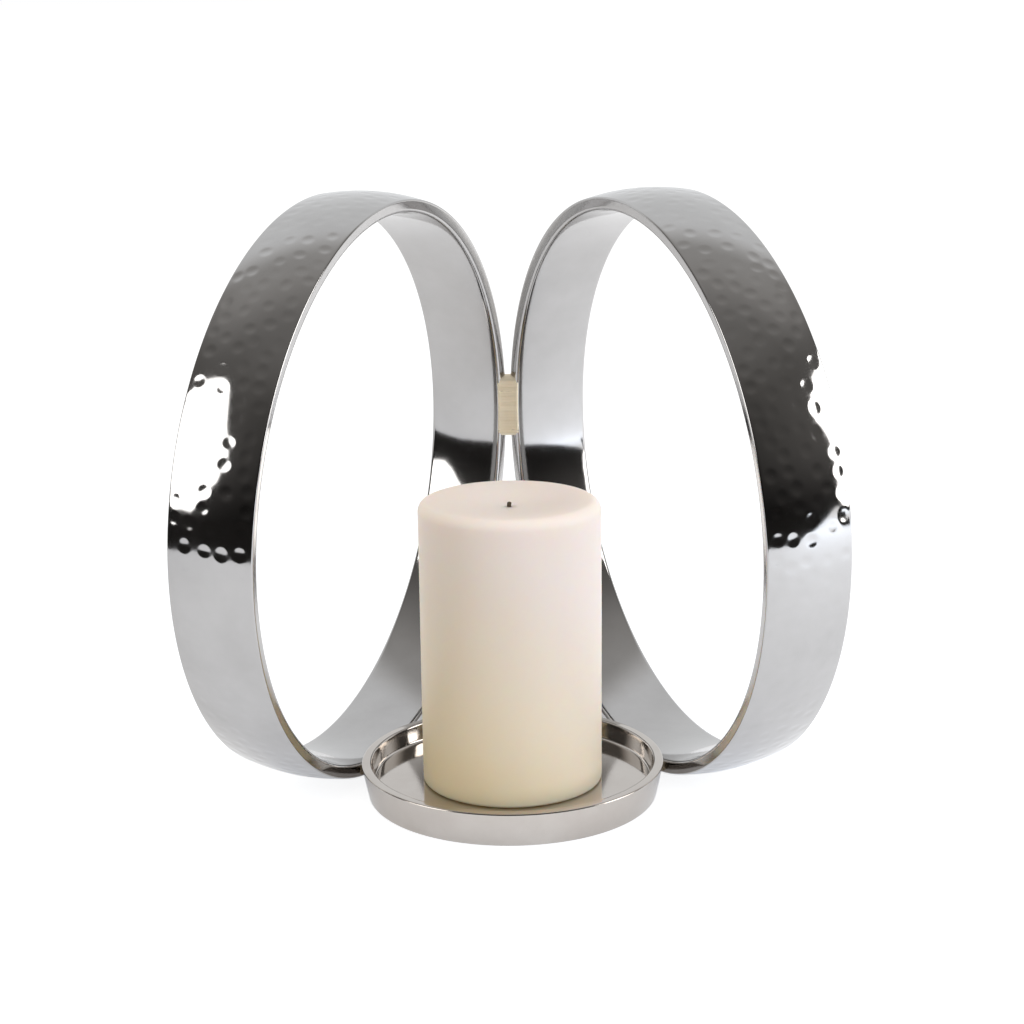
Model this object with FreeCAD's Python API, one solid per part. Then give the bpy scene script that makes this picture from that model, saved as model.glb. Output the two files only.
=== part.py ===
"""Candle ring: two hammered metal hoops stand in a V, welded to each other where their near edges
meet, and hold a round dish between their feet. A pillar candle stands in the dish.

Millimetres, +Z up. The hoops mirror each other about X = 0 and the V opens towards -Y. The origin is
the middle of the bounding box at floor level.
"""
import FreeCAD
import Part

import math
import os

from FreeCAD import Placement, Rotation, Vector

# Hoops: flat bands rolled into circles
hoop_outer_diameter = 265.0
hoop_band_width = 39.5
hoop_band_thickness = 6.6
hoop_outer_corner_bevel = 0.6
# the inner edges are bevelled, more along the band than into its thickness
hoop_edge_bevel_depth = 2.2
hoop_edge_bevel_width = 3.8
# angle of each hoop's plane to the X axis, and how far its top leans into the V
hoop_plane_angle = 67.3
hoop_lean_angle = 2.9
# space left between the two near edges where they come closest
hoop_to_hoop_gap = 0.3

# Weld between the hoops: it fills the groove between the two near edges
hoop_weld_height = 30.0
hoop_weld_depth = 4.9
hoop_weld_face_width = 8.6
hoop_weld_root_width = 1.0
hoop_weld_root_overrun = 0.3

# Dish: a thick round plate with a raised wall and a flat rim
dish_rim_diameter = 136.0
dish_height = 15.6
dish_rim_width = 4.5
dish_floor_thickness = 7.2
dish_outer_wall_angle = 11.4
dish_inner_wall_angle = 8.0
dish_floor_bevel = 2.0
dish_rim_bevel = 0.5
dish_base_bevel = 1.0

# Welds between the dish and the hoops: short beads along the dish wall, on the hoops' inner bevels
dish_to_hoop_gap = 0.25
dish_weld_length = 26.0
dish_weld_leg = 5.5
dish_weld_root_depth = 1.2
dish_weld_to_dish_gap = 0.02

# Candle: a moulded pillar with its wick from base to tip
candle_diameter = 80.0
candle_height = 128.5
candle_shoulder_radius = 4.0
candle_top_hollow_depth = 0.6
wick_diameter = 2.0
wick_stub_height = 1.8
wick_tip_bevel = 0.4
wick_to_wax_gap = 0.03

# Derived sizes
hoop_outer_radius = hoop_outer_diameter / 2
hoop_inner_radius = hoop_outer_radius - hoop_band_thickness
plane_angle = math.radians(hoop_plane_angle)
lean_angle = math.radians(hoop_lean_angle)
# inner end of the flat that each bevel leaves on the near and far edges
hoop_land_radius = hoop_inner_radius + hoop_edge_bevel_depth
hoop_centre_height = hoop_outer_radius * math.cos(lean_angle)
# half the width across X of the near edge circle, which leans and stands at an angle
hoop_reach = hoop_outer_radius * math.hypot(math.cos(plane_angle), math.sin(plane_angle) * math.sin(lean_angle))
hoop_centre_distance = (hoop_to_hoop_gap / 2 + hoop_reach) / math.cos(plane_angle)
dish_rim_radius = dish_rim_diameter / 2
dish_base_radius = dish_rim_radius - dish_height * math.tan(math.radians(dish_outer_wall_angle))
candle_radius = candle_diameter / 2
wick_radius = wick_diameter / 2

AXIS_X = Vector(1, 0, 0)
AXIS_Z = Vector(0, 0, 1)
CENTRE = Vector(0, 0, 0)


def outline(corners):
    """Closed wire in the XZ plane through corners (x, z, finish, size).

    The finish "round" puts an arc of that radius at the corner, "bevel" cuts it off by that size on
    both sides, and "sharp" leaves it.
    """
    points = [Vector(x, 0, z) for x, z, finish, size in corners]
    turns = []
    for index, (x, z, finish, size) in enumerate(corners):
        corner = points[index]
        back = (points[index - 1] - corner).normalize()
        ahead = (points[(index + 1) % len(points)] - corner).normalize()
        half_turn = back.getAngle(ahead) / 2
        setback = size / math.tan(half_turn) if finish == "round" else size
        inward = (back + ahead).normalize()
        middle = corner + inward * (size / math.sin(half_turn) - size)
        turns.append((corner + back * setback, middle, corner + ahead * setback))
    edges = []
    for index, (start, middle, end) in enumerate(turns):
        finish = corners[index][2]
        if finish == "round":
            edges.append(Part.Arc(start, middle, end))
        if finish == "bevel":
            edges.append(Part.LineSegment(start, end))
        next_start = turns[(index + 1) % len(turns)][0]
        if end.distanceToPoint(next_start) > 0:
            edges.append(Part.LineSegment(end, next_start))
    return Part.Wire([edge.toShape() for edge in edges])


def turned(wire):
    """Solid of revolution of a wire in the XZ plane about the Z axis."""
    return Part.Face(wire).revolve(CENTRE, AXIS_Z, 360)


def hoop_section():
    """Section of the band: x is the radius, z runs from the near edge to the far edge."""
    near = 0
    far = hoop_band_width
    return outline([
        (hoop_land_radius, near, "sharp", 0),
        (hoop_outer_radius, near, "bevel", hoop_outer_corner_bevel),
        (hoop_outer_radius, far, "bevel", hoop_outer_corner_bevel),
        (hoop_land_radius, far, "sharp", 0),
        (hoop_inner_radius, far - hoop_edge_bevel_width, "sharp", 0),
        (hoop_inner_radius, near + hoop_edge_bevel_width, "sharp", 0),
    ])


def left_hoop_placement():
    """From the band's own axes (axis along Z, near edge at 0) to its place left of X = 0."""
    lay_down = Rotation(AXIS_X, -90)
    lean = Rotation(AXIS_X, hoop_lean_angle)
    turn = Rotation(AXIS_Z, hoop_plane_angle)
    out = Vector(-math.cos(plane_angle), -math.sin(plane_angle), 0)
    centre = out * hoop_centre_distance + AXIS_Z * hoop_centre_height
    return Placement(centre, turn.multiply(lean).multiply(lay_down))


def left_hoop():
    """The left band, leaning into the V, with its near edge against the middle plane."""
    band = turned(hoop_section())
    band.Placement = left_hoop_placement()
    return band


def mirrored(shape):
    """The same shape on the other side of X = 0."""
    return shape.mirror(CENTRE, AXIS_X)


def near_edge_point(radius, angle):
    """Point of the left hoop's near edge; the angle starts at the end of the hoop next to X = 0."""
    lying = Vector(math.cos(angle), -math.sin(angle), 0) * radius
    return left_hoop_placement().multVec(lying)


def hoop_weld(left, right):
    """Filler in the groove between the two near edges, which follows them up and down."""
    closest = math.atan(math.tan(plane_angle) * math.sin(lean_angle))
    half_angle = hoop_weld_height / 2 / hoop_outer_radius
    section_count = 5
    sections = []
    for index in range(section_count):
        share_along = index / (section_count - 1)
        angle = closest - half_angle + 2 * half_angle * share_along
        point = near_edge_point(hoop_outer_radius, angle)
        root_y = point.y + hoop_weld_root_overrun
        face_y = point.y - hoop_weld_depth
        half_root = hoop_weld_root_width / 2
        half_face = hoop_weld_face_width / 2
        corners = [
            Vector(-half_face, face_y, point.z),
            Vector(half_face, face_y, point.z),
            Vector(half_root, root_y, point.z),
            Vector(-half_root, root_y, point.z),
        ]
        sections.append(Part.makePolygon(corners + corners[:1]))
    filler = Part.makeLoft(sections, True, True)
    return filler.cut(left).cut(right)


def dish_radius_at(height):
    """Outer radius of the dish's sloping wall at a height above the floor."""
    return dish_base_radius + (dish_rim_radius - dish_base_radius) * height / dish_height


def dish_seat():
    """Centre y of the dish and the direction from there to where its wall comes closest to a hoop.

    The dish stands as far back in the V as its wall clears the near edges at the hoops' feet.
    """
    sample_count = 1440
    seats = []
    for index in range(sample_count):
        point = near_edge_point(hoop_land_radius, 2 * math.pi * index / sample_count)
        reach = dish_radius_at(point.z) + dish_to_hoop_gap
        if point.z < dish_height and abs(point.x) < reach:
            centre_y = point.y - math.sqrt(reach ** 2 - point.x ** 2)
            seats.append((centre_y, math.degrees(math.atan2(point.y - centre_y, point.x))))
    return min(seats)


def dish():
    """The dish about the Z axis, with its base on the floor."""
    wall_depth = dish_height - dish_floor_thickness
    mouth_radius = dish_rim_radius - dish_rim_width
    floor_radius = mouth_radius - wall_depth * math.tan(math.radians(dish_inner_wall_angle))
    corners = [
        (0, 0, "sharp", 0),
        (dish_base_radius, 0, "bevel", dish_base_bevel),
        (dish_rim_radius, dish_height, "bevel", dish_rim_bevel),
        (mouth_radius, dish_height, "bevel", dish_rim_bevel),
        (floor_radius, dish_floor_thickness, "bevel", dish_floor_bevel),
        (0, dish_floor_thickness, "sharp", 0),
    ]
    return turned(outline(corners))


def left_dish_weld(hoop):
    """Filler along the dish wall, over the hoop's bevelled inner edge and down the gap before it."""
    centre_y, touch_angle = dish_seat()
    foot = hoop_band_thickness - hoop_edge_bevel_depth
    top = foot + dish_weld_leg
    root = foot - dish_weld_root_depth
    arc_angle = math.degrees(dish_weld_length / dish_radius_at(foot))
    section = outline([
        (dish_radius_at(root) + dish_weld_to_dish_gap, root, "sharp", 0),
        (dish_radius_at(foot) + dish_weld_leg, foot, "sharp", 0),
        (dish_radius_at(top) + dish_weld_to_dish_gap, top, "sharp", 0),
    ])
    filler = Part.Face(section).revolve(CENTRE, AXIS_Z, arc_angle)
    filler.rotate(CENTRE, AXIS_Z, touch_angle - arc_angle / 2)
    filler.translate(Vector(0, centre_y, 0))
    return filler.cut(hoop)


def candle_wax():
    """The pillar on the Z axis, bored for its wick, with a soft shoulder and a slightly hollow top."""
    bore = wick_radius + wick_to_wax_gap
    rim = candle_radius - candle_shoulder_radius
    corners = [
        (bore, 0, "sharp", 0),
        (candle_radius, 0, "sharp", 0),
        (candle_radius, candle_height, "round", candle_shoulder_radius),
        (rim, candle_height, "sharp", 0),
        (bore, candle_height - candle_top_hollow_depth, "sharp", 0),
    ]
    return turned(outline(corners))


def candle_wick():
    """The wick on the Z axis, from the candle's base to its trimmed tip."""
    length = candle_height - candle_top_hollow_depth + wick_stub_height
    corners = [
        (0, 0, "sharp", 0),
        (wick_radius, 0, "sharp", 0),
        (wick_radius, length, "bevel", wick_tip_bevel),
        (0, length, "sharp", 0),
    ]
    return turned(outline(corners))


def build():
    """All the pieces by name, with the box's middle above the origin."""
    left = left_hoop()
    right = mirrored(left)
    centre_y, touch_angle = dish_seat()
    plate = dish()
    plate.translate(Vector(0, centre_y, 0))
    wax = candle_wax()
    wick = candle_wick()
    for shape in (wax, wick):
        shape.translate(Vector(0, centre_y, dish_floor_thickness))
    left_filler = left_dish_weld(left)
    pieces = {
        "left_hoop": left,
        "right_hoop": right,
        "hoop_weld": hoop_weld(left, right),
        "dish": plate,
        "left_dish_weld": left_filler,
        "right_dish_weld": mirrored(left_filler),
        "candle_wax": wax,
        "candle_wick": wick,
    }
    box = left.optimalBoundingBox(False, False)
    to_middle = Vector(0, -box.Center.y, 0)
    for shape in pieces.values():
        shape.translate(to_middle)
    return pieces


os.makedirs("parts", exist_ok=True)
for name, piece in build().items():
    piece.exportStep("parts/" + name + ".step")
    print(name, "solids:", len(piece.Solids), "valid:", piece.isValid(), "volume:", piece.Volume)
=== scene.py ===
"""Candle ring: two hammered metal hoops, a polished dish and a pillar candle in a plain pale studio.

Metres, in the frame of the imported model: +Z up, the V of the two hoops opens towards -Y.
"""

import math
import random

import bpy
import numpy as np
from mathutils import Matrix, Vector


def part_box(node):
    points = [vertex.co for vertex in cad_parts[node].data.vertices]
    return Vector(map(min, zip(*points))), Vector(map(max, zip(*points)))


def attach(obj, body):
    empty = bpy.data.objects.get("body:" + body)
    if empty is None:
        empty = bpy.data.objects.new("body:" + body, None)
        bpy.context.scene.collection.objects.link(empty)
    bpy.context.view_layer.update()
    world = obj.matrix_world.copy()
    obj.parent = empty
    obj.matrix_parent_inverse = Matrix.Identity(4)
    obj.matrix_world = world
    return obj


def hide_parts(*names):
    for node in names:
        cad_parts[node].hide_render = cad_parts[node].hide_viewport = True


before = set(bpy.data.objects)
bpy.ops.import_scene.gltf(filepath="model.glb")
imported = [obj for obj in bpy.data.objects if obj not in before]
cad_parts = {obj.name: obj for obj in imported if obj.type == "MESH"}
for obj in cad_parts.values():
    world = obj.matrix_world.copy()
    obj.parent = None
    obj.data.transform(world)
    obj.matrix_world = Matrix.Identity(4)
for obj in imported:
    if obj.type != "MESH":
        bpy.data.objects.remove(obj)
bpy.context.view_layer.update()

# Hoops: the hammering crowns each band, so its middle stands a little above its edges
HOOP_RADIUS = 0.1325
EDGE_RADIUS = 0.1310
BAND_CROWN = 0.0022
BAND_WIDTH = 0.0395
BAND_THICKNESS = 0.0066
INNER_BULGE = 0.0011
OUTER_CORNER_RADIUS = 0.0008
# the edge faces tilt with the crown, and the corner to the inner face is eased
EDGE_TILT = math.radians(10.7)
EDGE_EASE_DEPTH = 0.0022
EDGE_EASE_WIDTH = 0.0028
# angle of each hoop's plane to the X axis, and how far its top leans into the V
PLANE_ANGLE = math.radians(67.3)
LEAN_ANGLE = math.radians(2.9)
# steps of the mesh: round the hoop, and across each part of its section
HOOP_STEPS = 1040
BAND_STEPS = 50
INNER_STEPS = 12
EASE_STEPS = 8
CORNER_STEPS = 6
EDGE_SHARES = (0.12, 0.5, 0.88, 1)

# Hammer marks: shallow round dents, about five across the band
DENT_SPACING = 0.0067
DENT_RADIUS = (0.0027, 0.0032)
DENT_STRETCH = (0.9, 1.1)
DENT_RIM_SLOPE = (0.07, 0.11)
DENT_POWER = 1.15
DENT_EDGE_MARGIN = 0.0034
DENT_TRIES = 26000
# long waves that the hammering leaves in a band: waves round it, turn across it, height
BAND_WAVES = ((7, 40, 0.00002), (16, -65, 0.000016), (27, 90, 0.00001))
# marks with a known place: degrees round the hoop from its end by the join, millimetres across
LEFT_MARKS = (
    (150.2, 22.7), (153.9, 22.8), (159.5, 14.3), (163.4, 14.9), (168.3, 22.4), (171.4, 22.1),
    (170.6, 35.6), (168.2, 12.5), (178.3, 30.4), (178.7, 20.8), (178.9, 13.2), (178.5, 5.4),
    (127.2, 35.7), (125.8, 30.4), (120.5, 29.5), (116.7, 22.3), (116.0, 14.7), (113.6, 6.0),
    (117.9, 5.0), (120.6, 13.5),
)
RIGHT_MARKS = (
    (147.0, 34.4), (151.2, 28.0), (154.5, 21.5), (155.5, 29.4), (176.9, 4.8), (177.4, 11.2),
    (178.2, 19.4), (176.4, 29.6), (174.8, 35.6), (167.0, 35.0), (163.6, 34.5), (116.0, 20.1),
    (114.7, 9.9), (117.4, 28.9), (120.8, 35.6), (120.3, 10.7),
)
KNOWN_MARK_SLOPE = 0.105
# room round a known mark, in mark spacings
KNOWN_MARK_ROOM = 1.25

# Weld between the hoops
WELD_HEIGHT = 0.0325
WELD_STATIONS = 56
WELD_COLUMNS = 12
WELD_COLUMN_WIDTH = 0.0007
# how bluntly it ends, its depth at the ends, and how far it goes past the edge faces in between
WELD_END_POWER = 20
WELD_END_DEPTH = 0.0005
WELD_PAST_EDGE = 0.0006
# how the part past an edge face follows the eased corner: inwards, and along the hoop's axis
WELD_EASE_IN = 0.5
WELD_EASE_ALONG = 0.9
WELD_ROOT_OVERLAP = 0.0001
WELD_ROOT_OVERRUN = 0.0003
WELD_SIDE_OVERLAP = 0.00012
WELD_FACE_CROWN = 0.0003
# ripple up the face: height, turns, phase
WELD_RIPPLES = ((0.00007, 61, 0), (0.00005, 23, 1))

# Dish
DISH_RIM_RADIUS = 0.068
DISH_BASE_RADIUS = 0.06485
DISH_HEIGHT = 0.0156
DISH_RIM_WIDTH = 0.0045
DISH_FLOOR = 0.0072
DISH_MOUTH_SLOPE = math.tan(math.radians(8))
DISH_BASE_ROUND = 0.0011
DISH_RIM_ROUND = 0.0007
DISH_MOUTH_ROUND = 0.0009
DISH_FLOOR_ROUND = 0.0014
DISH_FLOOR_RINGS = (0.055, 0.045, 0.03, 0.015)
DISH_SUPPORT = 0.0006
DISH_STEPS = 256
POLISH_WAVE = 0.00003

# Candle
CANDLE_RADIUS = 0.0404
CANDLE_HEIGHT = 0.1285
CANDLE_FOOT_ROUND = 0.0012
CANDLE_SHOULDER = 0.0048
CANDLE_SUPPORT = 0.0015
CANDLE_ROW_HEIGHT = 0.003
CANDLE_STEPS = 192
CANDLE_TOP_FALL = 0.0001
TOP_HOLLOW = 0.0032
# waves that the casting leaves: height, turns round, turn with height, phase
WAX_WAVES = ((0.0001, 3, 21, 0.6), (0.00006, 7, -47, 0))
WAX_WAVE_INSET = 0.00016
WAX_TOP_TILT = 0.00012

# Wick
WICK_BORE = 0.00105
WICK_RADIUS = 0.001
WICK_STUB = 0.0019
WICK_FINE_LENGTH = 0.006
WICK_COARSE_LEVELS = 6
WICK_FINE_LEVELS = 40
WICK_STEPS = 36
PLAIT_DEPTH = 0.00013
PLAIT_STRANDS = 3
PLAIT_TWIST = 2600

# a profile point nearer to the axis than this is a pole
POLE = 1e-7

# Soft lights, all on one circle round the object; rows are (height, azimuth of each edge)
LIGHT_DISTANCE = 1.2
LIGHT_COLUMNS = 6
LEFT_ROWS = (
    (0.13, -60.5, -72), (0.19, -55.8, -80), (0.29, -51.5, -82), (0.36, -47.3, -82), (0.56, -43.8, -82),
    (0.67, -45.3, -81), (0.785, -49.1, -80), (0.93, -52.2, -78.5), (1.08, -56.0, -70), (1.15, -61, -65),
)
RIGHT_ROWS = (
    (0.075, 71, 90), (0.11, 68.3, 94), (0.195, 67.4, 96), (0.40, 68.2, 96), (0.495, 68.3, 96),
    (0.574, 66.9, 96), (0.67, 64.0, 96), (0.78, 65.4, 96), (0.855, 67.7, 96), (0.95, 74.4, 94),
    (0.97, 79, 90),
)
KEY_ROWS = ((0.02, 42, 75), (0.3, 39, 76), (0.7, 39, 75), (1.0, 42, 70))
SOFTBOX_COLOUR = (1.0, 0.99, 0.98)
KEY_COLOUR = (0.875, 0.945, 1.0)

# the dark floor beyond the edges of the white table, seen in the metal only
DARK_FLOORS = (
    ((-3.0, -0.10), (-0.69, -0.10), (-0.685, -0.25), (-0.67, -0.355), (-0.63, -0.44), (-0.53, -0.483),
     (-0.42, -0.503), (-0.315, -0.535), (0.0, -0.585), (0.348, -0.626), (0.454, -0.605), (0.623, -0.62),
     (0.91, -0.678), (1.81, -0.941), (3.2, -1.35), (3.2, -4.0), (-3.0, -4.0)),
    ((1.0, -0.40), (1.02, -0.25), (3.2, -0.5), (3.2, -1.15), (1.7, -0.70)),
)
DARK_FLOOR_HEIGHT = 0.0006
DARK_FLOOR_GLOW = 0.018
DARK_FLOOR_COLOUR = (1.0, 0.93, 0.88)

# Studio walls and ceiling: a half sphere of rows and columns, and its tone as (place, level) stops
ROOM_RADIUS = 3.0
ROOM_ROWS = 24
ROOM_COLUMNS = 96
ROOM_BRIGHTEST = 1.3
ROOM_STOPS = ((0.0, 0.0), (0.1, 0.13), (0.3, 0.39), (0.6, 0.78), (0.77, 1.0), (1.0, 1.3))
ROOM_WARMTH = 0.08
ROOM_NEUTRAL_LEVEL = 0.7

# Floor: its colour and glow in the picture, and those of the white table that the metal shows
FLOOR_HALF_SIZE = 30
FLOOR_COLOUR = (0.34, 0.36, 0.39)
FLOOR_GLOW = 0.84
TABLE_COLOUR = (0.745, 0.785, 0.87)
TABLE_SIDES = (-0.8, 0.8)
TABLE_GLOW = (0.10, 0.60)
FILL_COLOUR = (1.0, 0.935, 0.83)
FILL_STRENGTH = 0.84

# Camera, fitted to the outline of the object in the picture; the lens is in frame widths
TARGET = Vector((0.0012, -0.0152, 0.1239))
CAMERA_DISTANCE = 0.9607
CAMERA_ELEVATION = math.radians(14.15)
CAMERA_YAW = math.radians(-0.04)
CAMERA_ROLL = math.radians(-0.71)
FOCAL_SHARE = 2.0873
SENSOR_WIDTH = 36

dish_low, dish_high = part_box("dish")
DISH_Y = (dish_low.y + dish_high.y) / 2


def mesh_piece(name, points, faces, uv=None):
    """A smooth mesh from vertex and face lists, with an optional (u, v) in metres for each vertex."""
    mesh = bpy.data.meshes.new(name)
    mesh.from_pydata([tuple(p) for p in points], [], faces)
    mesh.polygons.foreach_set("use_smooth", [True] * len(mesh.polygons))
    if uv is not None:
        layer = mesh.attributes.new("surface_uv", "FLOAT_VECTOR", "POINT")
        flat = np.zeros((len(points), 3), np.float32)
        flat[:, :2] = uv
        layer.data.foreach_set("vector", flat.ravel())
    mesh.validate()
    mesh.update()
    piece = bpy.data.objects.new(name, mesh)
    bpy.context.scene.collection.objects.link(piece)
    return piece


def fillet(before, corner, after, radius, steps):
    """Points of a round corner between two straight runs."""
    corner = np.array(corner, float)
    back = np.array(before, float) - corner
    ahead = np.array(after, float) - corner
    back /= np.linalg.norm(back)
    ahead /= np.linalg.norm(ahead)
    half = math.acos(np.clip(back @ ahead, -1, 1)) / 2
    setback = radius / math.tan(half)
    start, end = corner + back * setback, corner + ahead * setback
    bisector = (back + ahead) / np.linalg.norm(back + ahead)
    centre = corner + bisector * radius / math.sin(half)
    a = start - centre
    b = end - centre
    turn = math.acos(np.clip((a @ b) / radius ** 2, -1, 1))
    points = []
    for k in range(steps + 1):
        t = k / steps
        points.append(centre + (a * math.sin((1 - t) * turn) + b * math.sin(t * turn)) / math.sin(turn))
    return points


def towards(start, target, distance):
    """The point at a distance from start towards target, or at a third of the way if that is nearer."""
    run = np.array(target, float) - start
    length = np.linalg.norm(run)
    return start + run / length * min(distance, length / 3)


def polyline(corners, support):
    """Points along (x, z, radius, steps) corners, with a support point on each side of a round one."""
    points = []
    for k, (x, z, radius, steps) in enumerate(corners):
        if radius == 0:
            points.append(np.array((x, z), float))
            continue
        before, after = corners[k - 1][:2], corners[(k + 1) % len(corners)][:2]
        arc = fillet(before, (x, z), after, radius, steps)
        points += [towards(arc[0], before, support), *arc, towards(arc[-1], after, support)]
    return points


def lathe(name, profile, steps, wobble):
    """A turned piece about the Z axis; wobble gives each point's shift (outwards, up).

    A profile that starts off the axis is closed, as round a bore.
    """
    points, uv, rows = [], [], []
    length = 0.0
    for k, (x, z) in enumerate(profile):
        if k:
            length += math.dist(profile[k - 1], (x, z))
        if x < POLE:
            rows.append([len(points)] * steps)
            points.append((0, 0, z))
            uv.append((0, length))
            continue
        row = []
        for s in range(steps):
            angle = 2 * math.pi * s / steps
            dx, dz = wobble(angle, x, z)
            row.append(len(points))
            points.append(((x + dx) * math.cos(angle), (x + dx) * math.sin(angle), z + dz))
            uv.append((angle * x, length))
        rows.append(row)
    pairs = list(zip(rows, rows[1:]))
    if profile[0][0] > POLE:
        pairs.append((rows[-1], rows[0]))
    faces = []
    for low, high in pairs:
        for s in range(steps):
            t = (s + 1) % steps
            # the corners that a pole makes the same count once
            face = list(dict.fromkeys((low[s], low[t], high[t], high[s])))
            if len(face) > 2:
                faces.append(face)
    return mesh_piece(name, points, faces, uv)


# Materials

def node_material(name):
    material = bpy.data.materials.new(name)
    material.use_nodes = True
    tree = material.node_tree
    return material, tree, tree.nodes["Principled BSDF"]


def blank_tree(owner):
    """The emptied node tree of a new material or world."""
    owner.use_nodes = True
    owner.node_tree.nodes.clear()
    return owner.node_tree


def calculate(tree, operation, *values):
    """A Math node; each value is a number or a node's output."""
    node = tree.nodes.new("ShaderNodeMath")
    node.operation = operation
    for socket, value in zip(node.inputs, values):
        if isinstance(value, (int, float)):
            socket.default_value = value
        else:
            tree.links.new(value, socket)
    return node.outputs[0]


def place_vector(tree, attribute=None):
    """The place on the surface in object coordinates, or a mesh attribute."""
    if attribute:
        node = tree.nodes.new("ShaderNodeAttribute")
        node.attribute_name = attribute
        return node.outputs["Vector"]
    return tree.nodes.new("ShaderNodeTexCoord").outputs["Object"]


def object_axes(tree):
    """X, Y and Z of the place on the surface, in object coordinates."""
    split = tree.nodes.new("ShaderNodeSeparateXYZ")
    tree.links.new(place_vector(tree), split.inputs[0])
    return split.outputs["X"], split.outputs["Y"], split.outputs["Z"]


def noise(tree, vector, scale, detail=3.0, roughness=0.5, stretch=(1, 1, 1)):
    mapping = tree.nodes.new("ShaderNodeMapping")
    mapping.inputs["Scale"].default_value = stretch
    tree.links.new(vector, mapping.inputs["Vector"])
    node = tree.nodes.new("ShaderNodeTexNoise")
    node.inputs["Scale"].default_value = scale
    node.inputs["Detail"].default_value = detail
    node.inputs["Roughness"].default_value = roughness
    tree.links.new(mapping.outputs["Vector"], node.inputs["Vector"])
    return node.outputs["Fac"]


def ramp(tree, value, stops):
    """A colour ramp from (place, colour) stops."""
    node = tree.nodes.new("ShaderNodeValToRGB")
    elements = node.color_ramp.elements
    while len(elements) < len(stops):
        elements.new(0.5)
    for element, (position, colour) in zip(elements, stops):
        element.position = position
        element.color = (*colour, 1)
    tree.links.new(value, node.inputs["Fac"])
    return node.outputs["Color"]


def map_range(tree, value, source, result):
    """The value's share of the source range, as a place in the result range."""
    node = tree.nodes.new("ShaderNodeMapRange")
    node.inputs["From Min"].default_value, node.inputs["From Max"].default_value = source
    node.inputs["To Min"].default_value, node.inputs["To Max"].default_value = result
    tree.links.new(value, node.inputs["Value"])
    return node.outputs["Result"]


def bump(tree, height, strength, distance, normal=None):
    node = tree.nodes.new("ShaderNodeBump")
    node.inputs["Strength"].default_value = strength
    node.inputs["Distance"].default_value = distance
    tree.links.new(height, node.inputs["Height"])
    if normal is not None:
        tree.links.new(normal, node.inputs["Normal"])
    return node.outputs["Normal"]


def polished_metal(name, dull, bright, roughness, brushed, brush_scale, attribute="surface_uv",
                   metallic=1.0):
    """Polished metal: faint clouding, fine brush lines along u and small uneven spots in the gloss."""
    material, tree, shader = node_material(name)
    shader.inputs["Metallic"].default_value = metallic
    solid = place_vector(tree)
    along = place_vector(tree, attribute)
    clouds = noise(tree, solid, 38.0, detail=4.0, roughness=0.6)
    tree.links.new(ramp(tree, clouds, ((0.3, dull), (0.7, bright))), shader.inputs["Base Color"])
    lines = noise(tree, along, brush_scale, detail=5.0, roughness=0.7, stretch=(0.035, 1, 1))
    spots = noise(tree, solid, 240.0, detail=2.0)
    gloss = calculate(tree, "ADD", map_range(tree, lines, (0, 1), roughness),
                      map_range(tree, spots, (0, 1), (-0.012, 0.022)))
    tree.links.new(gloss, shader.inputs["Roughness"])
    normal = bump(tree, lines, strength=brushed, distance=0.00006)
    grain = noise(tree, solid, 900.0, roughness=0.6)
    tree.links.new(bump(tree, grain, 0.03, 0.0001, normal), shader.inputs["Normal"])
    return material


def wax_material():
    """Cream candle wax: light passes a little way in, and the surface has faint mottling.

    Its colour has painted light and shade: it is painted paler upwards and towards +X, where the light
    falls, and darker and more golden low down and towards -X, as painted shade and a painted warm
    reflection of the dish.
    """
    material, tree, shader = node_material("candle_wax")
    solid = place_vector(tree)
    x, _, z = object_axes(tree)
    cloud = noise(tree, solid, 22.0, detail=4.0, roughness=0.55, stretch=(1, 1, 0.35))
    height = calculate(tree, "MULTIPLY_ADD", cloud, 0.03, z)
    # painted light and shade: paler upwards and towards +X, darker and more golden low down and towards
    # -X
    painted_light_place = calculate(tree, "MULTIPLY_ADD", x, 0.8, height)
    base = ramp(tree, painted_light_place, ((0.005, (0.85, 0.73, 0.50)), (0.14, (0.92, 0.83, 0.80))))
    tree.links.new(base, shader.inputs["Base Color"])
    shader.inputs["Subsurface Weight"].default_value = 0.55
    shader.inputs["Subsurface Radius"].default_value = (1.0, 0.62, 0.34)
    shader.inputs["Subsurface Scale"].default_value = 0.009
    shader.inputs["IOR"].default_value = 1.44
    gloss = map_range(tree, noise(tree, solid, 160.0), (0, 1), (0.38, 0.55))
    tree.links.new(gloss, shader.inputs["Roughness"])
    grain = noise(tree, solid, 420.0, detail=4.0, roughness=0.6)
    normal = bump(tree, grain, strength=0.10, distance=0.0003)
    swells = noise(tree, solid, 34.0, detail=2.0)
    tree.links.new(bump(tree, swells, 0.25, 0.0008, normal), shader.inputs["Normal"])
    return material


def wick_material():
    """Waxed cotton with fine dark strands."""
    material, tree, shader = node_material("wick_cotton")
    strands = noise(tree, place_vector(tree), 2600.0, detail=2.0, roughness=0.6, stretch=(1, 1, 0.4))
    colours = ((0.3, (0.030, 0.022, 0.015)), (0.75, (0.13, 0.095, 0.06)))
    tree.links.new(ramp(tree, strands, colours), shader.inputs["Base Color"])
    shader.inputs["Roughness"].default_value = 0.85
    tree.links.new(bump(tree, strands, 0.6, 0.0002), shader.inputs["Normal"])
    return material


# Hoops and their weld

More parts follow.
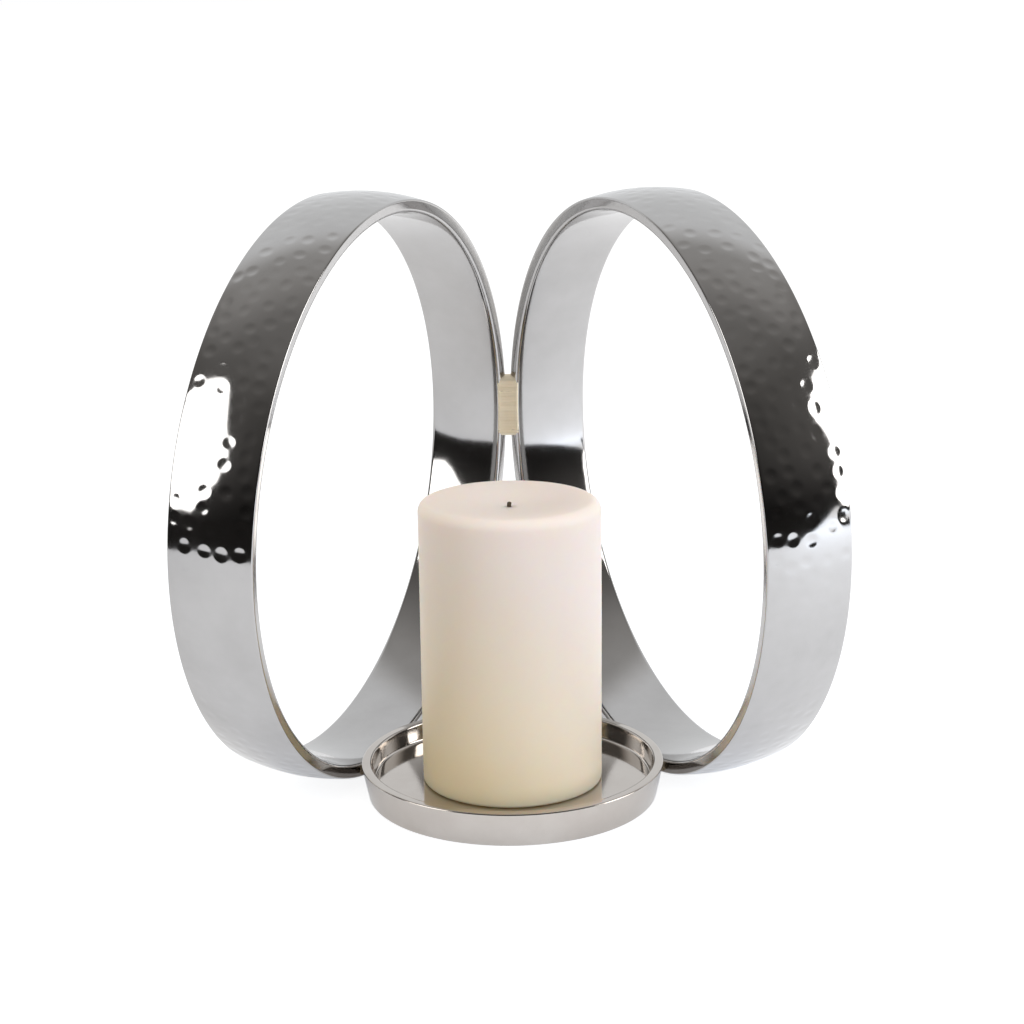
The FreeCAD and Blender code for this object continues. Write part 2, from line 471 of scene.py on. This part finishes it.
def dent_centres(rng, length, marks):
    """The known marks, then random places no nearer to any other than the hammer left them."""
    columns = int(length / DENT_SPACING)
    grid = {}
    found = []

    def cell(s, t):
        return int(s / DENT_SPACING) % columns, int(t / DENT_SPACING)

    def add(s, t):
        grid.setdefault(cell(s, t), []).append(len(found))
        found.append((s, t))

    def crowded(s, t):
        column, row = cell(s, t)
        for i in (-1, 0, 1, 2):
            for j in (-1, 0, 1):
                for k in grid.get(((column + i) % columns, row + j), ()):
                    ds = abs(found[k][0] - s)
                    room = DENT_SPACING * (KNOWN_MARK_ROOM if k < len(marks) else 1)
                    if math.hypot(min(ds, length - ds), found[k][1] - t) < room:
                        return True
        return False

    for degrees, across in marks:
        add(degrees / 360 * length, across / 1000)
    for _ in range(DENT_TRIES):
        s = rng.random() * length
        t = DENT_EDGE_MARGIN + rng.random() * (BAND_WIDTH - 2 * DENT_EDGE_MARGIN)
        if not crowded(s, t):
            add(s, t)
    return found


def hammered_depth(seed, across, marks):
    """Depth of the outer face below its circle for each step round the hoop and each place across."""
    rng = random.Random(seed)
    length = 2 * math.pi * HOOP_RADIUS
    step = length / HOOP_STEPS
    depth = np.zeros((HOOP_STEPS, len(across)))
    for number, (s, t) in enumerate(dent_centres(rng, length, marks)):
        radius = rng.uniform(*DENT_RADIUS)
        stretch = rng.uniform(*DENT_STRETCH)
        slope = rng.uniform(*DENT_RIM_SLOPE)
        if number < len(marks):
            slope = max(slope, KNOWN_MARK_SLOPE)
        # the rows that the dent can reach, with some to spare
        reach = int(radius * 1.2 / step) + 1
        middle = round(s / step)
        rows = np.arange(middle - reach, middle + reach + 1)
        ds = (rows * step - s) * stretch
        dt = (across - t) / stretch
        share = (ds[:, None] ** 2 + dt[None, :] ** 2) / radius ** 2
        cap = radius * slope / 2 * np.clip(1 - share, 0, None) ** DENT_POWER
        rows %= HOOP_STEPS
        depth[rows] = np.maximum(depth[rows], cap)
    around = np.arange(HOOP_STEPS) / HOOP_STEPS * 2 * math.pi
    for waves, tilt, size in BAND_WAVES:
        phase = rng.random() * 2 * math.pi
        depth += size * (1 + np.sin(waves * around[:, None] + tilt * across[None, :] + phase))
    return depth


def crowned_radius(across):
    """Radius of the outer face before hammering, at a place across the band."""
    return EDGE_RADIUS + BAND_CROWN * (1 - (2 * across / BAND_WIDTH - 1) ** 2)


def band_profile():
    """The band's section as (radius, place across) points, and the places of the outer face's.

    The outer face's points come first.
    """
    corner = OUTER_CORNER_RADIUS
    lift, run = corner * math.sin(EDGE_TILT), corner * math.cos(EDGE_TILT)
    tilt = math.tan(EDGE_TILT)
    # the edge face runs from land_low, land_in out to edge_high, lift
    edge_high = EDGE_RADIUS - run
    land_low = EDGE_RADIUS - BAND_THICKNESS + EDGE_EASE_DEPTH
    land_in = lift + (edge_high - land_low) * tilt
    inner_radius = crowned_radius(EDGE_EASE_WIDTH) - BAND_THICKNESS
    inner_width = BAND_WIDTH - 2 * EDGE_EASE_WIDTH
    slope = 4 * INNER_BULGE / inner_width
    # where the inner face and the edge face would meet if the corner between them weren't eased
    meet_t = (land_in + (land_low - inner_radius - slope * EDGE_EASE_WIDTH) * tilt) / (1 - slope * tilt)
    meet_r = inner_radius + slope * (EDGE_EASE_WIDTH - meet_t)

    # from the inner face to the outer one round the near edge
    edge_side = []
    for k in range(EASE_STEPS + 1):
        u = k / EASE_STEPS
        first, middle, last = (1 - u) ** 2, 2 * u * (1 - u), u ** 2
        edge_side.append((inner_radius * first + meet_r * middle + land_low * last,
                          EDGE_EASE_WIDTH * first + meet_t * middle + land_in * last))
    for share in EDGE_SHARES:
        edge_side.append((land_low + (edge_high - land_low) * share, land_in + (lift - land_in) * share))
    for k in range(1, CORNER_STEPS):
        a = EDGE_TILT + math.pi / 2 * (1 - k / CORNER_STEPS)
        edge_side.append((edge_high + lift + corner * math.cos(a), lift + run - corner * math.sin(a)))

    across = np.linspace(run, BAND_WIDTH - run, BAND_STEPS + 1)
    points = [(crowned_radius(t), t) for t in across]
    points += [(r, BAND_WIDTH - t) for r, t in reversed(edge_side)]
    for k in range(1, INNER_STEPS):
        share = k / INNER_STEPS
        bulge = INNER_BULGE * (1 - (2 * share - 1) ** 2)
        points.append((inner_radius - bulge, BAND_WIDTH - EDGE_EASE_WIDTH - inner_width * share))
    return points + edge_side, across


def left_hoop_frame():
    """The left hoop's near-edge centre and its directions: towards the join, up, and along its axis."""
    low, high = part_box("left_hoop")
    ahead = Vector((math.cos(PLANE_ANGLE), math.sin(PLANE_ANGLE), 0))
    upward = Vector((math.sin(PLANE_ANGLE) * math.sin(LEAN_ANGLE),
                     -math.cos(PLANE_ANGLE) * math.sin(LEAN_ANGLE), math.cos(LEAN_ANGLE)))
    axis = Vector((-math.sin(PLANE_ANGLE) * math.cos(LEAN_ANGLE),
                   math.cos(PLANE_ANGLE) * math.cos(LEAN_ANGLE), math.sin(LEAN_ANGLE)))
    return (low + high) / 2 - axis * BAND_WIDTH / 2, ahead, upward, axis


def hammered_hoop(name, side, seed, marks):
    """A band with hammer marks on its outer face; side is -1 for the left hoop and 1 for the right."""
    profile, across = band_profile()
    depth = hammered_depth(seed, across, marks)
    centre, ahead, upward, axis = left_hoop_frame()
    count = len(profile)
    lengths = [0.0]
    for k in range(1, count):
        lengths.append(lengths[-1] + math.dist(profile[k - 1], profile[k]))
    points, uv = [], []
    for s in range(HOOP_STEPS):
        angle = 2 * math.pi * s / HOOP_STEPS
        radial = ahead * math.cos(angle) + upward * math.sin(angle)
        for k, (r, t) in enumerate(profile):
            drop = depth[s, k] if k <= BAND_STEPS else 0.0
            p = centre + radial * (r - drop) + axis * t
            points.append((p.x * -side, p.y, p.z))
            uv.append((angle * HOOP_RADIUS, lengths[k]))
    faces = []
    for s in range(HOOP_STEPS):
        here, there = s * count, (s + 1) % HOOP_STEPS * count
        for k in range(count):
            after = (k + 1) % count
            face = [here + k, here + after, there + after, there + k]
            faces.append(face if side > 0 else face[::-1])
    return mesh_piece(name, points, faces, uv)


def weld_piece():
    """Filler in the groove between the near edges, ground flush and drawn in at its two ends."""
    centre, ahead, upward, axis = left_hoop_frame()
    closest = math.atan(math.tan(PLANE_ANGLE) * math.sin(LEAN_ANGLE))
    half_angle = WELD_HEIGHT / 2 / EDGE_RADIUS
    land = BAND_THICKNESS - EDGE_EASE_DEPTH
    points, faces, uv = [], [], []
    for s in range(WELD_STATIONS + 1):
        along = 2 * s / WELD_STATIONS - 1
        angle = closest + half_angle * along
        radial = ahead * math.cos(angle) + upward * math.sin(angle)
        fullness = max(0.0, 1 - abs(along) ** WELD_END_POWER) ** 0.5
        reach = WELD_END_DEPTH + (land + WELD_PAST_EDGE) * fullness
        past = max(0.0, reach - land)
        root = centre + radial * EDGE_RADIUS
        tip = (centre + radial * (EDGE_RADIUS - reach * math.cos(EDGE_TILT) - past * WELD_EASE_IN)
               + axis * (reach * math.sin(EDGE_TILT) + past * WELD_EASE_ALONG))
        ripple = sum(size * math.sin(turns * along + phase) for size, turns, phase in WELD_RIPPLES)
        root_y = root.y + WELD_ROOT_OVERRUN
        row = [(root.x - WELD_ROOT_OVERLAP, root_y, root.z)]
        for k in range(WELD_COLUMNS + 1):
            u = 2 * k / WELD_COLUMNS - 1
            rise = (WELD_FACE_CROWN * (1 - u * u) + ripple) * fullness
            row.append((-(tip.x - WELD_SIDE_OVERLAP) * u, tip.y + rise, tip.z))
        row.append((WELD_ROOT_OVERLAP - root.x, root_y, root.z))
        points += row
        uv += [(k * WELD_COLUMN_WIDTH, along * WELD_HEIGHT / 2) for k in range(len(row))]
    count = WELD_COLUMNS + 3
    for s in range(WELD_STATIONS):
        for k in range(count):
            a, b = s * count + k, s * count + (k + 1) % count
            faces.append([a, b, b + count, a + count])
    faces.append(list(range(count))[::-1])
    faces.append([WELD_STATIONS * count + k for k in range(count)])
    return mesh_piece("ground_weld", points, faces, uv)


# Dish, candle and wick

def dish_piece():
    mouth = DISH_RIM_RADIUS - DISH_RIM_WIDTH
    floor_edge = mouth - (DISH_HEIGHT - DISH_FLOOR) * DISH_MOUTH_SLOPE
    corners = [
        (0, 0, 0, 0),
        (DISH_BASE_RADIUS, 0, DISH_BASE_ROUND, 5),
        (DISH_RIM_RADIUS, DISH_HEIGHT, DISH_RIM_ROUND, 5),
        (mouth, DISH_HEIGHT, DISH_MOUTH_ROUND, 5),
        (floor_edge, DISH_FLOOR, DISH_FLOOR_ROUND, 7),
        (0, DISH_FLOOR, 0, 0),
    ]
    profile = polyline(corners, DISH_SUPPORT)
    rings = [np.array((x, DISH_FLOOR)) for x in DISH_FLOOR_RINGS]
    profile = profile[:-1] + rings + profile[-1:]

    def polish_waves(angle, x, z):
        return POLISH_WAVE * math.sin(5 * angle + 40 * z), 0.0

    piece = lathe("dish_plate", profile, DISH_STEPS, polish_waves)
    piece.data.transform(Matrix.Translation((0, DISH_Y, 0)))
    return piece


def candle_piece():
    """The pillar, bored for its wick, with a soft shoulder and a hollow round the wick."""
    top = CANDLE_HEIGHT
    corners = [
        (WICK_BORE, 0, 0, 0),
        (CANDLE_RADIUS, 0, CANDLE_FOOT_ROUND, 5),
        (CANDLE_RADIUS, top, CANDLE_SHOULDER, 12),
        (WICK_BORE, top - CANDLE_TOP_FALL, 0, 0),
    ]
    sparse = polyline(corners, CANDLE_SUPPORT)
    profile = []
    for a, b in zip(sparse, sparse[1:]):
        pieces = max(1, int(math.dist(a, b) / CANDLE_ROW_HEIGHT))
        profile += [a + (b - a) * k / pieces for k in range(pieces)]
    profile.append(sparse[-1])
    flat = CANDLE_RADIUS - CANDLE_SHOULDER
    for point in profile:
        if point[1] > top - 2 * CANDLE_TOP_FALL and point[0] < flat:
            point[1] -= TOP_HOLLOW * (1 + math.cos(math.pi * point[0] / flat)) / 2

    def hand_cast(angle, x, z):
        side = min(1.0, x / CANDLE_RADIUS) ** 3
        waves = sum(size * math.sin(turns * angle + rise * z + phase)
                    for size, turns, rise, phase in WAX_WAVES)
        tilt = WAX_TOP_TILT * (math.sin(2 * angle + 1.1) * side - 1) * z / top
        return (waves - WAX_WAVE_INSET) * side, tilt

    piece = lathe("candle_pillar", profile, CANDLE_STEPS, hand_cast)
    piece.data.transform(Matrix.Translation((0, DISH_Y, DISH_FLOOR)))
    return piece


def wick_piece():
    """A plaited cotton wick; its ridges twist round it."""
    top = CANDLE_HEIGHT - TOP_HOLLOW + WICK_STUB
    fine_low, fine_high = top - WICK_FINE_LENGTH, top - 0.0004
    heights = [0.0001]
    heights += [fine_low * k / WICK_COARSE_LEVELS + 0.0001 for k in range(1, WICK_COARSE_LEVELS)]
    heights += [fine_low + (fine_high - fine_low) * k / WICK_FINE_LEVELS
                for k in range(WICK_FINE_LEVELS + 1)]
    profile = [(0, 0)] + [(WICK_RADIUS, z) for z in heights]
    profile += [(WICK_RADIUS * 0.75, top - 0.0001), (0, top)]

    def plait(angle, x, z):
        ridge = (1 + math.cos(PLAIT_STRANDS * angle + PLAIT_TWIST * z)) / 2
        return -PLAIT_DEPTH * ridge * x / WICK_RADIUS, 0.0

    piece = lathe("wick", profile, WICK_STEPS, plait)
    piece.data.transform(Matrix.Translation((0, DISH_Y, DISH_FLOOR)))
    return piece


hoop_metal = polished_metal(
    "hoop_metal", dull=(0.445, 0.435, 0.427), bright=(0.49, 0.48, 0.472), roughness=(0.05, 0.09),
    brushed=0.02, brush_scale=900.0)
dish_metal = polished_metal(
    "dish_metal", dull=(0.50, 0.458, 0.420), bright=(0.56, 0.522, 0.482), roughness=(0.05, 0.10),
    brushed=0.03, brush_scale=1100.0)
# painted reflection: the weld's warm, bright base colour paints in the candle's warm reflection on it
weld_metal = polished_metal(
    "weld_metal", dull=(0.76, 0.66, 0.50), bright=(0.90, 0.80, 0.62), roughness=(0.22, 0.36),
    brushed=0.04, brush_scale=700.0, attribute=None, metallic=0.5)

for side, node, seed, marks in ((-1, "left_hoop", 41, LEFT_MARKS), (1, "right_hoop", 97, RIGHT_MARKS)):
    hoop = hammered_hoop("hammered_" + node, side, seed, marks)
    hoop.data.materials.append(hoop_metal)
    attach(hoop, "stand")
    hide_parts(node)

for piece, material, body, node, slot in (
    (dish_piece(), dish_metal, "stand", "dish", "dish_metal"),
    (candle_piece(), wax_material(), "candle", "candle_wax", "wax"),
    (wick_piece(), wick_material(), "candle", "candle_wick", "wick"),
    (weld_piece(), weld_metal, "stand", "hoop_weld", "hoop_metal"),
):
    piece.data.materials.append(material)
    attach(piece, body)
    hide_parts(node)

# the dish welds take the same weld metal, with its painted reflection of the candle
for node in ("left_dish_weld", "right_dish_weld"):
    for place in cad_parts[node].material_slots:
        place.material = weld_metal


# Studio

def emitter(name, points, faces, strength, colour=(1, 1, 1)):
    """A glowing stage piece that the camera doesn't see."""
    piece = mesh_piece(name, points, faces)
    material = bpy.data.materials.new(name)
    tree = blank_tree(material)
    glow = tree.nodes.new("ShaderNodeEmission")
    glow.inputs["Color"].default_value = (*colour, 1)
    glow.inputs["Strength"].default_value = strength
    out = tree.nodes.new("ShaderNodeOutputMaterial")
    tree.links.new(glow.outputs[0], out.inputs["Surface"])
    piece.data.materials.append(material)
    piece.visible_camera = False
    return piece


def softbox(name, rows, strength, colour):
    """A tall soft light on a circle round the object."""
    points, faces = [], []
    for z, first_edge, second_edge in rows:
        for k in range(LIGHT_COLUMNS + 1):
            azimuth = math.radians(first_edge + (second_edge - first_edge) * k / LIGHT_COLUMNS)
            points.append((LIGHT_DISTANCE * math.sin(azimuth), -LIGHT_DISTANCE * math.cos(azimuth), z))
    width = LIGHT_COLUMNS + 1
    for i in range(len(rows) - 1):
        for k in range(LIGHT_COLUMNS):
            a = i * width + k
            faces.append([a, a + 1, a + width + 1, a + width])
    return emitter(name, points, faces, strength, colour)


def metal_only(piece):
    """Makes a stage piece show in the metal only, and light nothing else."""
    piece.visible_diffuse = False
    piece.visible_shadow = False
    piece.visible_transmission = False
    piece.visible_volume_scatter = False


def room_tone(tree):
    """Tone of the studio walls and ceiling: dark in front, light behind."""
    _, y, z = object_axes(tree)

    def ease(value, low, high, level):
        """Rises smoothly from 0 to a level between two values, in room radiuses."""
        result = map_range(tree, value, (low * ROOM_RADIUS, high * ROOM_RADIUS), (0.0, level))
        result.node.interpolation_type = "SMOOTHSTEP"
        return result

    behind = ease(y, 0.26, 0.56, 1.0)
    overhead = calculate(tree, "MULTIPLY", ease(y, -0.3, 0.3, 0.24), ease(z, 0.55, 0.85, 1.0))
    ceiling = ease(z, 0.62, 0.98, 0.10)
    upper_front = calculate(tree, "ADD", ease(z, -0.02, 0.42, 0.8), 0.2)
    front = calculate(tree, "MULTIPLY", ease(y, -1.3, -0.35, 0.13), upper_front)
    before = calculate(tree, "ADD", calculate(tree, "ADD", overhead, ceiling), front)
    not_behind = calculate(tree, "SUBTRACT", 1.0, behind)
    return calculate(tree, "ADD", calculate(tree, "MULTIPLY", behind, 0.92),
                     calculate(tree, "MULTIPLY", not_behind, before))


def room_shell():
    """Studio walls and ceiling, seen in the metal only."""
    points, faces = [], []
    for i in range(ROOM_ROWS + 1):
        elevation = math.pi / 2 * i / ROOM_ROWS
        for k in range(ROOM_COLUMNS):
            azimuth = 2 * math.pi * k / ROOM_COLUMNS
            points.append((ROOM_RADIUS * math.cos(elevation) * math.cos(azimuth),
                           ROOM_RADIUS * math.cos(elevation) * math.sin(azimuth),
                           ROOM_RADIUS * math.sin(elevation)))
    for i in range(ROOM_ROWS):
        for k in range(ROOM_COLUMNS):
            a, b = i * ROOM_COLUMNS + k, i * ROOM_COLUMNS + (k + 1) % ROOM_COLUMNS
            faces.append([b, a, a + ROOM_COLUMNS, b + ROOM_COLUMNS])
    shell = emitter("studio_walls", points, faces, 1.0)
    tree = shell.data.materials[0].node_tree
    share = calculate(tree, "MULTIPLY", room_tone(tree), 1 / ROOM_BRIGHTEST)
    stops = []
    for position, level in ROOM_STOPS:
        warm = 1 + ROOM_WARMTH * (ROOM_NEUTRAL_LEVEL - level)
        stops.append((position, (level * warm, level, level / warm)))
    tree.links.new(ramp(tree, share, stops), tree.nodes["Emission"].inputs["Color"])
    metal_only(shell)


def ray_share(tree, *kinds):
    """1 for rays of these kinds, else 0."""
    path = tree.nodes.new("ShaderNodeLightPath")
    share = path.outputs[kinds[0]]
    for kind in kinds[1:]:
        share = calculate(tree, "MAXIMUM", share, path.outputs[kind])
    return share


def floor_material():
    """Near white in the picture; in the metal a white table with more light on its right side."""
    material = bpy.data.materials.new("pale_floor")
    tree = blank_tree(material)

    def matt_and_glow(colour, strength):
        matt = tree.nodes.new("ShaderNodeBsdfDiffuse")
        matt.inputs["Color"].default_value = (*colour, 1)
        glow = tree.nodes.new("ShaderNodeEmission")
        tree.links.new(strength, glow.inputs["Strength"])
        both = tree.nodes.new("ShaderNodeAddShader")
        tree.links.new(matt.outputs[0], both.inputs[0])
        tree.links.new(glow.outputs[0], both.inputs[1])
        return both.outputs[0]

    floor_glow = calculate(tree, "MULTIPLY", ray_share(tree, "Is Camera Ray"), FLOOR_GLOW)
    table_glow = map_range(tree, object_axes(tree)[0], TABLE_SIDES, TABLE_GLOW)
    choose = tree.nodes.new("ShaderNodeMixShader")
    tree.links.new(ray_share(tree, "Is Glossy Ray", "Is Transmission Ray"), choose.inputs[0])
    tree.links.new(matt_and_glow(FLOOR_COLOUR, floor_glow), choose.inputs[1])
    tree.links.new(matt_and_glow(TABLE_COLOUR, table_glow), choose.inputs[2])
    out = tree.nodes.new("ShaderNodeOutputMaterial")
    tree.links.new(choose.outputs[0], out.inputs["Surface"])
    return material


def studio_world():
    """Warm fill light on the object, and white for the camera and in the metal."""
    world = bpy.data.worlds.new("studio")
    tree = blank_tree(world)
    fill = tree.nodes.new("ShaderNodeBackground")
    fill.inputs["Color"].default_value = (*FILL_COLOUR, 1)
    fill.inputs["Strength"].default_value = FILL_STRENGTH
    white = tree.nodes.new("ShaderNodeBackground")
    white.inputs["Color"].default_value = (1, 1, 1, 1)
    white.inputs["Strength"].default_value = 1.0
    mix = tree.nodes.new("ShaderNodeMixShader")
    seen = ray_share(tree, "Is Camera Ray", "Is Glossy Ray", "Is Transmission Ray")
    tree.links.new(seen, mix.inputs[0])
    tree.links.new(fill.outputs[0], mix.inputs[1])
    tree.links.new(white.outputs[0], mix.inputs[2])
    out = tree.nodes.new("ShaderNodeOutputWorld")
    tree.links.new(mix.outputs[0], out.inputs["Surface"])
    return world


softbox("left_softbox", LEFT_ROWS, 3.2, SOFTBOX_COLOUR)
softbox("right_softbox", RIGHT_ROWS, 4.6, SOFTBOX_COLOUR)
key = softbox("key_light", KEY_ROWS, 4.2, KEY_COLOUR)
key.visible_glossy = False
for number, border in enumerate(DARK_FLOORS, 1):
    corners = [(x, y, DARK_FLOOR_HEIGHT) for x, y in border]
    metal_only(emitter("dark_floor_%d" % number, corners, [list(range(len(border)))[::-1]],
                       DARK_FLOOR_GLOW, DARK_FLOOR_COLOUR))
room_shell()

half = FLOOR_HALF_SIZE
floor = mesh_piece("floor", [(-half, -half, 0), (half, -half, 0), (half, half, 0), (-half, half, 0)],
                   [[0, 1, 2, 3]])
floor.data.materials.append(floor_material())
bpy.context.scene.world = studio_world()

# Camera
back = Vector((math.sin(CAMERA_YAW) * math.cos(CAMERA_ELEVATION),
               -math.cos(CAMERA_YAW) * math.cos(CAMERA_ELEVATION), math.sin(CAMERA_ELEVATION)))
level_right = (-back).cross(Vector((0, 0, 1))).normalized()
level_up = level_right.cross(-back)
image_right = level_right * math.cos(CAMERA_ROLL) + level_up * math.sin(CAMERA_ROLL)
image_up = level_up * math.cos(CAMERA_ROLL) - level_right * math.sin(CAMERA_ROLL)
camera_data = bpy.data.cameras.new("camera")
camera_data.sensor_width = SENSOR_WIDTH
camera_data.lens = FOCAL_SHARE * SENSOR_WIDTH
camera = bpy.data.objects.new("camera", camera_data)
bpy.context.scene.collection.objects.link(camera)
camera.matrix_world = Matrix.Translation(TARGET + back * CAMERA_DISTANCE) @ Matrix(
    (image_right, image_up, back)).transposed().to_4x4()
bpy.context.scene.camera = camera
bpy.context.scene.view_settings.view_transform = "Standard"
